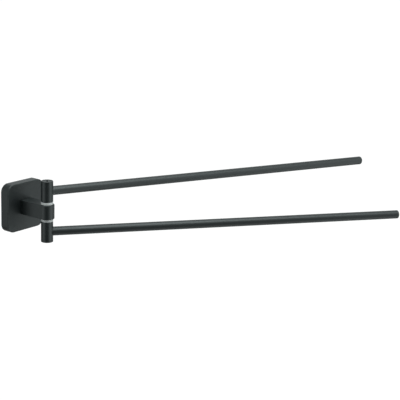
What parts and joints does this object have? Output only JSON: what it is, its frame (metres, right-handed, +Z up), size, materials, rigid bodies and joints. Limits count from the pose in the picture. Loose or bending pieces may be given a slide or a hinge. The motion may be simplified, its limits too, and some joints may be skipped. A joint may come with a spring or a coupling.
{
  "type": "swivel towel rail",
  "caption": "Wall-mounted swivel towel rail: a square wall plate with a short neck, and long round rods that swing on barrels above and below its knuckle.",
  "frame": {"origin": "on the wall, at the middle of the plate's back face", "axes": "+Y is the back face's outward normal, into the wall; -Y points out into the room; +Z is up, along the hinge axis; +X is to the right seen from the room"},
  "size_m": [0.3847, 0.2742, 0.0632],
  "materials": {
    "black_coating": "satin black baked coating with a very fine texture",
    "white_nylon": "natural nylon, slightly translucent",
    "plated_steel": "bright zinc-plated steel",
    "dark_steel": "black oxide steel, lightly oiled"
  },
  "bodies": {
    "base": {"plate_cover": "black_coating", "wall_bracket": "plated_steel", "plate_grub_screw": "dark_steel", "neck": "black_coating", "neck_screw": "plated_steel", "neck_spring_washer": "plated_steel", "neck_dowel": "plated_steel", "pivot_pin": "plated_steel", "upper_thrust_washer": "white_nylon", "upper_wave_washer": "plated_steel", "upper_retaining_screw": "black_coating", "lower_thrust_washer": "white_nylon", "lower_wave_washer": "plated_steel", "lower_retaining_screw": "black_coating"},
    "upper_arm": {"upper_barrel": "black_coating", "upper_bush": "white_nylon", "upper_rod": "black_coating", "upper_rod_plug": "black_coating"},
    "lower_arm": {"lower_barrel": "black_coating", "lower_bush": "white_nylon", "lower_rod": "black_coating", "lower_rod_plug": "black_coating"}
  },
  "joints": [
    {"name": "upper_swing", "type": "hinge", "parent": "base", "child": "upper_arm", "pos_m": [0, -0.04, 0], "axis": [0, 0, 1], "range_deg": [-156.5, 23.5]},
    {"name": "lower_swing", "type": "hinge", "parent": "base", "child": "lower_arm", "pos_m": [0, -0.04, 0], "axis": [0, 0, 1], "range_deg": [-143.75, 36.25]}
  ]
}
